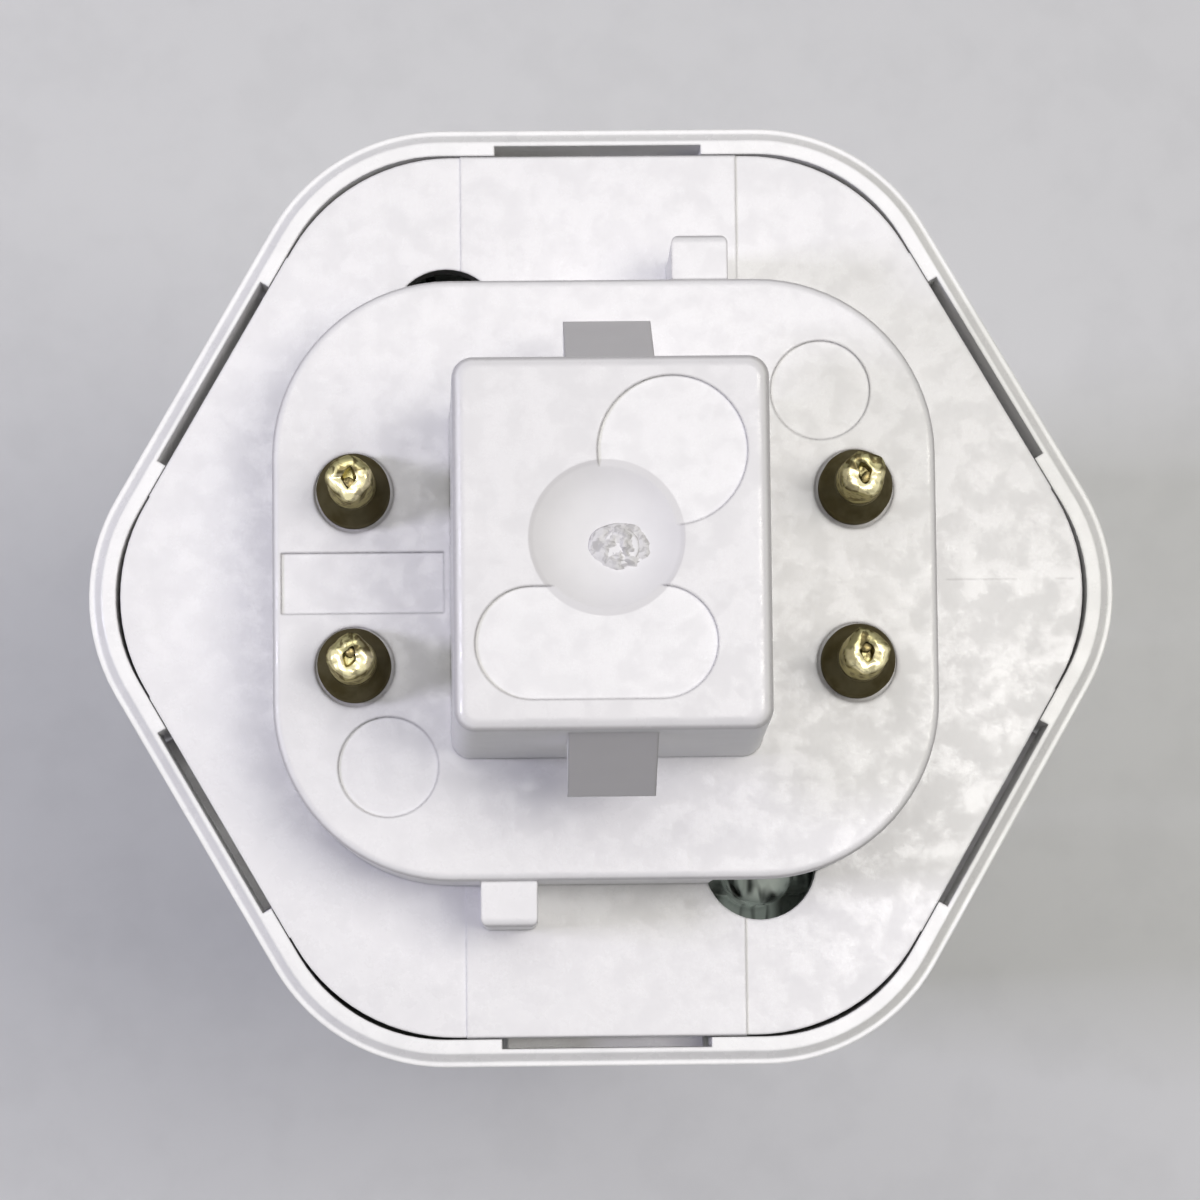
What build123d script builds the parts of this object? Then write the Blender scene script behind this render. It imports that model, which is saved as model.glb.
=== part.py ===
from build123d import *
from math import atan2, cos, degrees, radians, sin, tan
import os

# Compact fluorescent lamp with a plug-in cap, in millimetres.
# The origin is on the lamp's axis, at the face of the cap that meets the lampholder.
# +Z runs out along the pins, and the discharge tube points down -Z.

# Collar: a hexagonal moulded cup, open towards the cap, whose floor the tube's legs pass through
collar_across_flats = 44.8
collar_corner_radius = 9.35
collar_wall = 1.3
collar_height = 24.0
collar_floor = 2.0
collar_draft_degrees = 0.5
collar_foot_radius = 1.5
rim_drop = 7.5
rim_shoulder_width = 0.25
rim_slope_width = 0.38
rim_step_depth = 0.42

# Snaps: hooks on the cover's arms that catch in windows in the collar's six walls
slot_length = 9.9
slot_depth = 0.46
window_drop = 3.8
window_height = 2.4
hook_reach = 1.0
hook_land = 0.5
hook_play = 0.1
hook_side_play = 0.25

# Base cover: plate, skirt, neck and post in one moulding
cover_gap = 0.1
cover_corner_ease = 0.7
plate_thickness = 1.5
skirt_depth = 7.5
skirt_wall = 1.3
arm_width = 13.2
arm_gap = 0.05
arm_slit = 0.6
neck_width = 30.55
neck_depth = 27.7
neck_corner_radius = 8.2
neck_wall = 1.5
neck_roof = 1.8
neck_edge_radius = 0.35
rib_width = 2.6
rib_proud = 2.1
rib_offset = 4.53
rib_drop = 0.3
rib_edge_radius = 0.4
vent_radius = 2.65
vent_offset = 7.33
vent_inset = 0.9
band_height = 0.08

# Post in the middle of the cap, tapered for release from its mould, with a catch on two sides
post_height = 15.9
post_base_width = 14.2
post_base_depth = 16.5
post_top_width = 13.5
post_top_depth = 15.95
post_corner_radius = 0.9
post_edge_radius = 0.55
post_wall = 1.5
post_roof = 1.8
catch_width = 3.85
catch_reach = 2.47
catch_top_drop = 1.2
catch_shoulder_drop = 6.7
catch_lip = 0.6
catch_undercut = 0.5

# Moulding marks: the gate in its dish, and shallow plain panels
dish_radius = 3.3
dish_depth = 0.7
dish_x = -0.23
dish_y = 0.2
gate_radius = 0.95
gate_top_radius = 0.75
gate_height = 0.25
gate_x = 0.38
gate_y = -0.17
panel_depth = 0.12
round_panel_radius = 3.2
round_panel_x = 2.6
round_panel_y = 3.9
long_panel_length = 10.3
long_panel_width = 4.8
long_panel_x = -0.7
long_panel_y = -4.25
face_panel_length = 7.45
face_panel_width = 2.8
face_panel_x = -11.13
face_panel_y = -0.15
ejector_radius = 2.3
ejector_x = 10.0
ejector_y = 8.6

# Contact pins: turned brass, seated in shallow spot faces, riveted under the neck's roof, crimped at the nose
pin_spacing_x = 23.0
pin_spacing_y = 8.0
pin_radius = 1.67
pin_length = 6.2
pin_foot_length = 1.2
pin_shank_radius = 1.4
pin_shoulder_length = 1.7
pin_nose_radius = 1.06
pin_tip_radius = 0.88
pin_tip_bevel = 0.25
pin_bore_depth = 1.5
crimp_radius = 0.35
crimp_depth = 0.6
pin_flange_width = 0.5
pin_flange_thickness = 0.5
pin_flange_gap = 0.2
pin_fit = 0.02
pin_seat_depth = 0.08
pin_seat_gap = 0.16
boss_wall = 1.0
boss_length = 1.6

# Discharge tube: three bent glass tubes in a ring, joined into one vessel by two bridges
leg_spread = 2.98
tube_reach = 110.0
leg_end_gap = 4.2
leg_end_dome = 2.6
leg_hole_gap = 0.25
bridge_diameter = 6.6
bridge_gap = 4.4
bridge_flare = 1.0
pinch_width = 9.4
pinch_thickness = 2.6
pinch_height = 4.0
exhaust_radius = 1.8
exhaust_height = 3.0

# Lead wires, from the pinched ends of the glass into the pins
wire_radius = 0.25
wire_fit = 0.05
wire_spacing = 6.4
wire_bend_radius = 1.6
near_wire_straight = 0.3
far_wire_straight = 1.5

# Basing cement, poured on the collar's floor
cement_depth = 4.8

# Levels and sizes that follow from those above
rim_level = -rim_drop
foot_level = rim_level - collar_height
floor_level = foot_level + collar_floor
skirt_level = rim_level - skirt_depth
window_top = rim_level - window_drop
window_bottom = window_top - window_height
boss_level = -neck_roof - boss_length
pin_low_level = boss_level - pin_flange_thickness
pin_bore_level = pin_low_level + pin_bore_depth
pin_flange_radius = pin_shank_radius + pin_flange_width
pin_bore_radius = wire_radius + wire_fit
cavity_across_flats = collar_across_flats - 2 * collar_wall
cavity_corner_radius = collar_corner_radius - collar_wall
cover_across_flats = cavity_across_flats - 2 * cover_gap
cover_corner_radius = cavity_corner_radius + cover_corner_ease
leg_ring_radius = (collar_across_flats / 2 - collar_corner_radius) / cos(radians(30))
leg_radius = (leg_ring_radius - leg_spread) / 2
bend_radius = leg_ring_radius / 2
bend_level = -tube_reach + leg_radius + bend_radius
leg_end_level = skirt_level - leg_end_gap
dome_level = leg_end_level - leg_end_dome
pinch_level = leg_end_level + pinch_height
bridge_level = foot_level - bridge_gap - bridge_diameter / 2
corner_angles = range(0, 360, 60)
flat_angles = range(30, 360, 60)
band_angles = [90, 270]
bent_pairs = [(300, 0), (60, 120), (180, 240)]
bridged_pairs = [(0, 60), (120, 180)]
electrode_angles = [240, 300]


def hexagon(across_flats, corner_radius):
    """Hexagon with rounded corners, two of them on the X axis."""
    sharp = RegularPolygon(across_flats / 2, 6, major_radius=False)
    return fillet(sharp.vertices(), corner_radius)


def leg_spot(angle, level=0.0):
    """Point on the axis of the leg that stands in the collar's corner at this angle."""
    x = leg_ring_radius * cos(radians(angle))
    y = leg_ring_radius * sin(radians(angle))
    return Vector(x, y, level)


def wall_block(angle, inner, outer, width, low, high):
    """Block that crosses a wall of the hexagon, from one distance off the axis to another."""
    block = Box(outer - inner, width, high - low)
    return Rot(0, 0, angle) * Pos((inner + outer) / 2, 0, (low + high) / 2) * block


def make_collar():
    """Collar: drafted hexagonal cup with a stepped rim, holes for the legs, snap slots and windows."""
    shrink = collar_height * tan(radians(collar_draft_degrees))
    foot = hexagon(collar_across_flats - 2 * shrink, collar_corner_radius - shrink)
    collar = Pos(0, 0, foot_level) * extrude(foot, collar_height, taper=-collar_draft_degrees)
    collar = fillet(collar.faces().sort_by(Axis.Z)[0].edges(), collar_foot_radius)

    cavity = hexagon(cavity_across_flats, cavity_corner_radius)
    collar -= Pos(0, 0, floor_level) * extrude(cavity, collar_height)

    lip = hexagon(collar_across_flats - 2 * rim_shoulder_width, collar_corner_radius - rim_shoulder_width)
    lip = extrude(lip, rim_step_depth, taper=degrees(atan2(rim_slope_width, rim_step_depth)))
    beyond = hexagon(collar_across_flats + collar_wall, collar_corner_radius + collar_wall / 2)
    collar -= Pos(0, 0, rim_level - rim_step_depth) * (extrude(beyond, rim_step_depth) - lip)

    for angle in corner_angles:
        hole = Circle(leg_radius + leg_hole_gap)
        collar -= Pos(leg_spot(angle, foot_level)) * extrude(hole, collar_floor)

    inside = cavity_across_flats / 2
    for angle in flat_angles:
        collar -= wall_block(angle, inside - slot_depth, inside + slot_depth, slot_length,
                             window_top, rim_level)
        collar -= wall_block(angle, inside - slot_depth, inside + 2 * collar_wall, slot_length,
                             window_bottom, window_top)
    return collar


def post_face(height):
    """Distance from the axis to the post's drafted catch face at a height above the cap's face."""
    return (post_base_depth + (post_top_depth - post_base_depth) * height / post_height) / 2


def make_post():
    """Post: tapered and hollow from below, with a sloped catch on its two broad sides."""
    base = RectangleRounded(post_base_width, post_base_depth, post_corner_radius)
    top = RectangleRounded(post_top_width, post_top_depth, post_corner_radius)
    post = loft([base, Pos(0, 0, post_height) * top], ruled=True)
    post = fillet(post.faces().sort_by(Axis.Z)[-1].edges(), post_edge_radius)

    catch_top = post_height - catch_top_drop
    shoulder = post_height - catch_shoulder_drop
    lip = shoulder - catch_lip
    underside = lip - catch_undercut
    tip = post_top_depth / 2 + catch_reach
    root = (post_top_depth - post_wall) / 2
    outline = Polyline(
        (root, catch_top),
        (post_face(catch_top), catch_top),
        (tip, shoulder),
        (tip, lip),
        (post_face(underside), underside),
        (root, underside),
        close=True,
    )
    catch = extrude(Plane.YZ * make_face(outline), catch_width / 2, both=True)
    return post + catch + mirror(catch, Plane.XZ)


def make_post_core():
    """Hollow of the post, open through the neck's roof."""
    low = RectangleRounded(post_base_width - 2 * post_wall, post_base_depth - 2 * post_wall, post_corner_radius)
    high = RectangleRounded(post_top_width - 2 * post_wall, post_top_depth - 2 * post_wall, post_corner_radius)
    return loft([Pos(0, 0, -neck_roof) * low, Pos(0, 0, post_height - post_roof) * high], ruled=True)


def make_rib():
    """Key rib on the neck's +Y side, which lets the lamp into its own kind of holder only."""
    outline = Rectangle(rib_width, rib_proud, align=(Align.CENTER, Align.MIN))
    rib = extrude(outline, rim_drop - rib_drop)
    showing_edges = rib.faces().sort_by(Axis.Y)[-1].edges().sort_by(Axis.Z)[1:]
    rib = fillet(showing_edges, rib_edge_radius)
    return Pos(rib_offset, neck_depth / 2, rim_level) * rib


def pin_spots():
    """Feet of the contact pins on the cap's face."""
    return [Vector(x * pin_spacing_x / 2, y * pin_spacing_y / 2, 0) for x in (-1, 1) for y in (-1, 1)]


def make_snap_arm(angle):
    """Springy arm of the skirt in the middle of one flat, with its hook."""
    face = cavity_across_flats / 2 - arm_gap
    arm = wall_block(angle, cover_across_flats / 2 - skirt_wall, face, arm_width, skirt_level, rim_level)
    hook_top = window_top - hook_play
    outline = Polyline(
        (face - skirt_wall / 2, hook_top),
        (face + hook_reach, hook_top),
        (face + hook_reach, hook_top - hook_land),
        (face, window_bottom + hook_play),
        (face - skirt_wall / 2, window_bottom + hook_play),
        close=True,
    )
    hook = extrude(Plane.XZ * make_face(outline), slot_length / 2 - hook_side_play, both=True)
    return arm + Rot(0, 0, angle) * hook


def make_arm_slits(angle):
    """Pair of slits that free one snap arm from the rest of the skirt."""
    slit = wall_block(0, cover_across_flats / 2 - 2 * skirt_wall, cavity_across_flats / 2, arm_slit,
                      skirt_level, rim_level - plate_thickness)
    offset = (arm_width + arm_slit) / 2
    return Rot(0, 0, angle) * (Pos(0, offset, 0) * slit + Pos(0, -offset, 0) * slit)


def make_marks():
    """Shallow marks of the mould: the gate's dish and plain panels on the post and the cap's face."""
    sphere_radius = (dish_radius ** 2 + dish_depth ** 2) / (2 * dish_depth)
    marks = Pos(dish_x, dish_y, post_height - dish_depth + sphere_radius) * Sphere(sphere_radius)

    on_post = Pos(round_panel_x, round_panel_y) * Circle(round_panel_radius)
    on_post += Pos(long_panel_x, long_panel_y) * SlotOverall(long_panel_length, long_panel_width)
    marks += Pos(0, 0, post_height - panel_depth) * extrude(on_post, 2 * panel_depth)

    on_face = Pos(face_panel_x, face_panel_y) * Rectangle(face_panel_length, face_panel_width)
    on_face += Pos(ejector_x, ejector_y) * Circle(ejector_radius)
    on_face += Pos(-ejector_x, -ejector_y) * Circle(ejector_radius)
    return marks + Pos(0, 0, -panel_depth) * extrude(on_face, 2 * panel_depth)


def make_base_cover():
    """Base cover: hexagonal plate and skirt that snap into the collar, hollow neck and post."""
    plate = hexagon(cover_across_flats, cover_corner_radius)
    skirt = plate - hexagon(cover_across_flats - 2 * skirt_wall, cover_corner_radius - skirt_wall)
    cover = Pos(0, 0, skirt_level) * extrude(skirt, skirt_depth)
    cover += Pos(0, 0, rim_level - plate_thickness) * extrude(plate, plate_thickness)
    for angle in flat_angles:
        cover -= make_arm_slits(angle)
    for angle in flat_angles:
        cover += make_snap_arm(angle)

    neck = extrude(RectangleRounded(neck_width, neck_depth, neck_corner_radius), -rim_drop)
    cover += fillet(neck.faces().sort_by(Axis.Z)[-1].edges(), neck_edge_radius)
    rib = make_rib()
    cover += rib + Rot(0, 0, 180) * rib
    for angle in band_angles:
        cover += wall_block(angle, neck_depth / 2 - neck_wall / 2, cover_across_flats / 2, arm_width,
                            rim_level, rim_level + band_height)

    hollow = RectangleRounded(neck_width - 2 * neck_wall, neck_depth - 2 * neck_wall,
                              neck_corner_radius - neck_wall)
    cover -= Pos(0, 0, -neck_roof) * extrude(hollow, neck_roof - rim_drop - plate_thickness)
    for spot in pin_spots():
        boss = Pos(spot.X, spot.Y, boss_level) * extrude(Circle(pin_shank_radius + boss_wall), boss_length)
        cover += boss

    cover += make_post()
    cover -= make_post_core()
    cover -= make_marks()
    gate = Cone(gate_radius, gate_top_radius, gate_height, align=(Align.CENTER, Align.CENTER, Align.MIN))
    cover += Pos(gate_x, gate_y, post_height - dish_depth) * gate

    for spot in pin_spots():
        cover -= Pos(spot.X, spot.Y, boss_level) * extrude(Circle(pin_shank_radius + pin_fit), -boss_level)
        cover -= Pos(spot) * extrude(Circle(pin_radius + pin_seat_gap), -pin_seat_depth)
        room = Circle(pin_flange_radius + pin_flange_gap)
        cover -= Pos(spot.X, spot.Y, boss_level) * extrude(room, rim_level - plate_thickness - boss_level)
    vent = extrude(Circle(vent_radius), -neck_roof - skirt_level)
    vent = Pos(-vent_offset, neck_depth / 2 - vent_inset, skirt_level) * vent
    return cover - vent - Rot(0, 0, 180) * vent


def make_pin():
    """Contact pin: foot in a spot face, flange under the boss, wire bore below and a tapered, crimped nose."""
    outline = Polyline(
        (0, pin_bore_level),
        (pin_bore_radius, pin_bore_level),
        (pin_bore_radius, pin_low_level),
        (pin_flange_radius, pin_low_level),
        (pin_flange_radius, boss_level),
        (pin_shank_radius, boss_level),
        (pin_shank_radius, -pin_seat_depth),
        (pin_radius, -pin_seat_depth),
        (pin_radius, pin_foot_length),
        (pin_nose_radius, pin_foot_length + pin_shoulder_length),
        (pin_tip_radius, pin_length - pin_tip_bevel),
        (pin_tip_radius - pin_tip_bevel / 2, pin_length),
        (crimp_radius, pin_length),
        (0, pin_length - crimp_depth),
        close=True,
    )
    return revolve(Plane.XZ * make_face(outline), Axis.Z)


def make_bent_tube(first, second):
    """Bent tube: two straight legs joined by a half-round bend."""
    first_end = leg_spot(first, dome_level)
    first_bend = leg_spot(first, bend_level)
    second_bend = leg_spot(second, bend_level)
    second_end = leg_spot(second, dome_level)
    lowest = (first_bend + second_bend) / 2 - Vector(0, 0, bend_radius)
    path = Line(first_end, first_bend)
    path += ThreePointArc(first_bend, lowest, second_bend)
    path += Line(second_bend, second_end)
    outward = (first_end + second_end) / 2 - Vector(0, 0, dome_level)
    return sweep(Plane(first_end, x_dir=outward, z_dir=(0, 0, -1)) * Circle(leg_radius), path)


def make_bridge(first, second):
    """Bridge: short tube blown between two neighbouring legs, just clear of the collar."""
    start = leg_spot(first, bridge_level)
    end = leg_spot(second, bridge_level)
    section = Plane(start, z_dir=end - start) * Circle(bridge_diameter / 2)
    return extrude(section, (end - start).length)


def make_leg_end():
    """Domed end that closes a leg."""
    edge = (leg_radius, 0)
    crown = (0, leg_end_dome)
    cap_radius = (leg_radius ** 2 + leg_end_dome ** 2) / (2 * leg_end_dome)
    outline = Line((0, 0), edge) + RadiusArc(edge, crown, -cap_radius) + Line(crown, (0, 0))
    return revolve(Plane.XZ * make_face(outline), Axis.Z)


def make_pinch():
    """Pressed glass blade that seals a pair of lead wires, with the stub of the exhaust tube."""
    blade = SlotOverall(pinch_width, pinch_thickness)
    pinch = extrude(blade, pinch_height + leg_end_dome / 2)
    stub = extrude(Circle(exhaust_radius), exhaust_height) + Pos(0, 0, exhaust_height) * Sphere(exhaust_radius)
    return Pos(0, 0, -leg_end_dome / 2) * pinch + Pos(0, 0, pinch_height) * stub


def make_discharge_tube():
    """Discharge tube: one sealed glass vessel, its bridges flared where they were fused on."""
    tube = Part()
    for first, second in bent_pairs:
        tube += make_bent_tube(first, second)
    for first, second in bridged_pairs:
        tube += make_bridge(first, second)
    tube = fillet(tube.edges().filter_by(GeomType.BSPLINE), bridge_flare)
    for angle in corner_angles:
        tube += Pos(leg_spot(angle, dome_level)) * make_leg_end()
    for angle in electrode_angles:
        tube += Pos(leg_spot(angle, leg_end_level)) * make_pinch()
    return tube


def make_lead_wire(angle, side, pin, straight):
    """Lead wire: straight out of the pinch, across under the neck and up into its pin."""
    start = leg_spot(angle, pinch_level) + Vector(side * wire_spacing / 2, 0, 0)
    level = pinch_level + straight + wire_bend_radius
    turn = Vector(start.X, start.Y, level)
    under_pin = Vector(pin.X, pin.Y, level)
    end = Vector(pin.X, pin.Y, pin_bore_level)
    path = FilletPolyline(start, turn, under_pin, end, radius=wire_bend_radius)
    return sweep(Plane(start, z_dir=(0, 0, 1)) * Circle(wire_radius), path)


def make_lead_wires():
    """The four lead wires, in the order of the pins that they end in."""
    wires = []
    for pin in pin_spots():
        outward = 1 if pin.X > 0 else -1
        angle = electrode_angles[1] if pin.X > 0 else electrode_angles[0]
        near = pin.Y < 0
        side = outward if near else -outward
        straight = near_wire_straight if near else far_wire_straight
        wires.append(make_lead_wire(angle, side, pin, straight))
    return wires


def make_cement():
    """Basing cement: fills the collar round the legs, on its floor."""
    section = hexagon(cavity_across_flats, cavity_corner_radius)
    for angle in corner_angles:
        spot = leg_spot(angle)
        section -= Pos(spot.X, spot.Y) * Circle(leg_radius)
    return Pos(0, 0, floor_level) * extrude(section, cement_depth)


nodes = {
    "base_cover": make_base_cover(),
    "collar": make_collar(),
    "discharge_tube": make_discharge_tube(),
    "basing_cement": make_cement(),
}
for number, spot in enumerate(pin_spots(), start=1):
    nodes[f"contact_pin_{number}"] = Pos(spot) * make_pin()
for number, wire in enumerate(make_lead_wires(), start=1):
    nodes[f"lead_wire_{number}"] = wire

os.makedirs("parts", exist_ok=True)
for name, shape in nodes.items():
    export_step(shape, f"parts/{name}.step")
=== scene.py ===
import math

import bmesh
import bpy
from mathutils import Matrix, Vector, noise


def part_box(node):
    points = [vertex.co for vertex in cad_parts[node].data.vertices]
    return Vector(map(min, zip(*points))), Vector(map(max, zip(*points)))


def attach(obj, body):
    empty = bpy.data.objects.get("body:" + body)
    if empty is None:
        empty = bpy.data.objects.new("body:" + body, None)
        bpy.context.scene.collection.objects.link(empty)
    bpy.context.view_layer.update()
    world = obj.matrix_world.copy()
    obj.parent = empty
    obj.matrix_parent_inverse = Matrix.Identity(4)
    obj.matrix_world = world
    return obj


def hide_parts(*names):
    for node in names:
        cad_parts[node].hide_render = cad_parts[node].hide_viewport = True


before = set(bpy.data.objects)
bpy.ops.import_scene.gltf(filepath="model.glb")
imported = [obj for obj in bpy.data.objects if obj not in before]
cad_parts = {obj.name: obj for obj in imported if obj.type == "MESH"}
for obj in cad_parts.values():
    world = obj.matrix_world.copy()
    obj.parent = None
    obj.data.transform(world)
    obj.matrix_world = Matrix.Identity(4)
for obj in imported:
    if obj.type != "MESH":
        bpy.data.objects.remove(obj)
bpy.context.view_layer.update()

# Discharge tube: three U-bent tubes of clear glass in a ring, coated white inside, fused into one sealed
# vessel by two blown bridges. Each leg is closed by a dome, and two of them by a pressed blade that seals
# the lead wires. The legs stand in the collar's corner holes, bedded in cement.
mm = 0.001
weld = 0.001 * mm
tube_low, tube_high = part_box("discharge_tube")
leg_gap = 2.98 * mm
leg_radius = (tube_high.x - leg_gap) / 3
ring_radius = tube_high.x - leg_radius
leg_turn = math.radians(60)
bend_turn = 2 * leg_turn
tube_sides = 64
exhaust_radius = 1.8 * mm
exhaust_height = 3.0 * mm
pinch_top = tube_high.z - exhaust_radius - exhaust_height
pinch_height = 4.0 * mm
pinch_width = 9.4 * mm
pinch_thickness = 2.6 * mm
pinch_steps = 41
end_squareness = 12
leg_end_level = pinch_top - pinch_height
dome_height = 2.6 * mm
dome_steps = 10
bend_radius = ring_radius / 2
bend_level = tube_low.z + leg_radius + bend_radius
bend_steps = 28
bridge_radius = 3.3 * mm
bridge_flare = 1.0 * mm
bridge_drop = 4.4 * mm
bridge_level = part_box("collar")[0].z - bridge_drop - bridge_radius
bridge_steps = 61
glass_white = (0.86, 0.865, 0.845, 1)
glass_thin_coat = (0.80, 0.805, 0.78, 1)
glass_bare = (0.70, 0.74, 0.69, 1)
# Painted shade: glass_painted_shade is the near-black of the streaks on the bare glass inside the cap.
glass_painted_shade = (0.05, 0.06, 0.055, 1)
# Painted light: glass_painted_glow is a faint glow on bare glass behind a vent and at the stub's tip.
glass_painted_glow = (0.13, 0.15, 0.135, 1)
no_glow = (0, 0, 0, 1)
bare_glass_level = leg_end_level - 6.0 * mm
coat_fade = 2 * mm
coat_cloud_size = 9 * mm
shade_streak_size = 1.0 * mm
ripple_size = 14 * mm
ripple_depth = 0.25 * mm
# Where the painted glow shows: a band at the exhaust stub's tip and a box of bare glass behind a vent.
stub_painted_glow_fade = 0.4 * mm
vent_painted_glow = 0.7
vent_painted_glow_spans = [
    ("X", 5.7 * mm, 6.3 * mm),
    ("X", 9.0 * mm, 8.3 * mm),
    ("Y", -10 * mm, -11 * mm),
    ("Z", leg_end_level - 2.4 * mm, leg_end_level - 1.6 * mm),
]


class Flow:
    """A socket on its way through a node tree. Sums and products of flows add Math nodes."""

    def __init__(self, wiring, socket):
        self.wiring = wiring
        self.socket = socket

    def single(self, operation):
        return self.wiring.node("ShaderNodeMath", {"operation": operation}, {0: self})

    def math(self, operation, first, second):
        return self.wiring.node("ShaderNodeMath", {"operation": operation}, {0: first, 1: second})

    def up_to(self, limit):
        return self.math("MINIMUM", self, limit)

    def __abs__(self):
        return self.single("ABSOLUTE")

    def __add__(self, other):
        return self.math("ADD", self, other)

    def __sub__(self, other):
        return self.math("SUBTRACT", self, other)

    def __rsub__(self, other):
        return self.math("SUBTRACT", other, self)

    def __mul__(self, other):
        return self.math("MULTIPLY", self, other)

    def __rtruediv__(self, other):
        return self.math("DIVIDE", other, self)

    def __pow__(self, other):
        return self.math("POWER", self, other)

    __radd__ = __add__
    __rmul__ = __mul__


class Wiring:
    """A node tree in the making: one method adds every kind of node."""

    def feed(self, socket, value):
        if isinstance(value, Flow):
            self.tree.links.new(value.socket, socket)
        else:
            socket.default_value = value

    def node(self, kind, settings={}, sockets={}, output=0):
        new = self.tree.nodes.new(kind)
        for name, value in settings.items():
            setattr(new, name, value)
        for name, value in sockets.items():
            for each in value if isinstance(value, list) else [value]:
                self.feed(new.inputs[name], each)
        return Flow(self, new.outputs[output])


class Finish(Wiring):
    """A material on the Object coordinates of the piece that wears it."""

    def __init__(self, name):
        self.material = bpy.data.materials.new(name)
        self.material.use_nodes = True
        self.tree = self.material.node_tree
        self.shader = self.tree.nodes["Principled BSDF"]
        self.place = self.node("ShaderNodeTexCoord", output="Object")

    def axis(self, name):
        return self.node("ShaderNodeSeparateXYZ", {}, {0: self.place}, output=name)

    def noise(self, size, detail=2.0, stretch=(1, 1, 1), distortion=0.0, crisp=0.5):
        """Cloudy pattern with features of about this size, longer along an axis whose stretch is small."""
        place = self.node("ShaderNodeMapping", {}, {"Vector": self.place, "Scale": stretch})
        sockets = {"Vector": place, "Scale": 1 / size, "Detail": detail}
        sockets.update({"Roughness": crisp, "Distortion": distortion})
        return self.node("ShaderNodeTexNoise", {}, sockets)

    def step(self, value, low, high):
        """Smooth rise from 0 to 1 as a value goes from low to high; it falls where low is the higher one."""
        sockets = {"Value": value, "From Min": low, "From Max": high}
        return self.node("ShaderNodeMapRange", {"interpolation_type": "SMOOTHSTEP"}, sockets)

    def blend(self, share, first, second):
        sockets = {0: share, 6: first, 7: second}
        return self.node("ShaderNodeMix", {"data_type": "RGBA"}, sockets, output=2)

    def bump(self, height, depth, strength, **sockets):
        """Normal of a surface that stands out by this depth where its height is 1."""
        sockets.update({"Height": height, "Distance": depth, "Strength": strength})
        return self.node("ShaderNodeBump", {}, sockets)

    def wear(self, **sockets):
        """Sets the shader's sockets, named with underscores for spaces."""
        for name, value in sockets.items():
            self.feed(self.shader.inputs[name.replace("_", " ")], value)
        return self.material


class Recipe(Wiring):
    """A Geometry Nodes tree with named sizes, which makes a plain mesh out of a source object."""

    def __init__(self, name, **kinds):
        self.tree = bpy.data.node_groups.new(name, "GeometryNodeTree")
        interface = self.tree.interface
        interface.new_socket("Mesh", in_out="OUTPUT", socket_type="NodeSocketGeometry")
        interface.new_socket("Source", in_out="INPUT", socket_type="NodeSocketGeometry")
        self.identifiers = {}
        for label, kind in kinds.items():
            socket = interface.new_socket(label, in_out="INPUT", socket_type="NodeSocket" + kind)
            self.identifiers[label] = socket.identifier
        self.inputs = self.tree.nodes.new("NodeGroupInput")

    def size(self, label):
        return Flow(self, self.inputs.outputs[label])

    def around(self, shape, count, turn):
        """Copies of a shape round the Z axis, each turned by the same angle from the last."""
        points = self.node("GeometryNodePoints", {}, {"Count": count})
        angle = self.node("GeometryNodeInputIndex") * turn
        rotation = self.node("ShaderNodeCombineXYZ", {}, {"Z": angle})
        sockets = {"Points": points, "Instance": shape, "Rotation": rotation}
        return self.node("GeometryNodeInstanceOnPoints", {}, sockets)

    def make(self, name, source, shape, material, **sizes):
        """Ends the tree, runs it on the source with these sizes and returns the plain mesh as a piece."""
        real = self.node("GeometryNodeRealizeInstances", {}, {0: shape})
        real = self.node("GeometryNodeSetShadeSmooth", {}, {0: real})
        real = self.node("GeometryNodeSetMaterial", {}, {0: real, "Material": material})
        self.tree.links.new(real.socket, self.tree.nodes.new("NodeGroupOutput").inputs[0])
        modifier = source.modifiers.new(name, "NODES")
        modifier.node_group = self.tree
        for label, value in sizes.items():
            modifier[self.identifiers[label]] = value
        bpy.context.scene.collection.objects.link(source)
        graph = bpy.context.evaluated_depsgraph_get()
        mesh = bpy.data.meshes.new_from_object(source.evaluated_get(graph), depsgraph=graph)
        source.modifiers.remove(modifier)
        bpy.data.objects.remove(source)
        piece = bpy.data.objects.new(name, mesh)
        bpy.context.scene.collection.objects.link(piece)
        return piece


def leg_spot(degrees, level):
    """Middle of the leg that stands at an angle round the ring, at a height."""
    angle = math.radians(degrees)
    return Vector((ring_radius * math.cos(angle), ring_radius * math.sin(angle), level))


def dome_points(degrees):
    """Centres and radii down a leg's domed end, from its crown to its edge."""
    crown_radius = (leg_radius ** 2 + dome_height ** 2) / (2 * dome_height)
    widest = math.asin(leg_radius / crown_radius)
    points = []
    for step in range(dome_steps + 1):
        tilt = widest * step / dome_steps
        level = leg_end_level - crown_radius * (1 - math.cos(tilt))
        points.append((leg_spot(degrees, level), crown_radius * math.sin(tilt)))
    return points


def bent_centreline(first, second):
    """Centreline of one bent tube, from crown to crown, with its radius at each point."""
    middle = (leg_spot(first, bend_level) + leg_spot(second, bend_level)) / 2
    across = leg_spot(first, bend_level) - middle
    points = dome_points(first)
    for step in range(bend_steps + 1):
        angle = math.pi * step / bend_steps
        place = middle + across * math.cos(angle) - Vector((0, 0, bend_radius * math.sin(angle)))
        points.append((place, leg_radius))
    points += reversed(dome_points(second))
    curve = bpy.data.curves.new("bent_centreline", "CURVE")
    curve.dimensions = "3D"
    spline = curve.splines.new("POLY")
    spline.points.add(len(points) - 1)
    for point, (place, radius) in zip(spline.points, points):
        point.co = (*place, 1)
        point.radius = radius
    return bpy.data.objects.new("bent_centreline", curve)


def either(first, second):
    """Share of a surface that at least one of two masks covers."""
    return first + second - first * second


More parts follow.
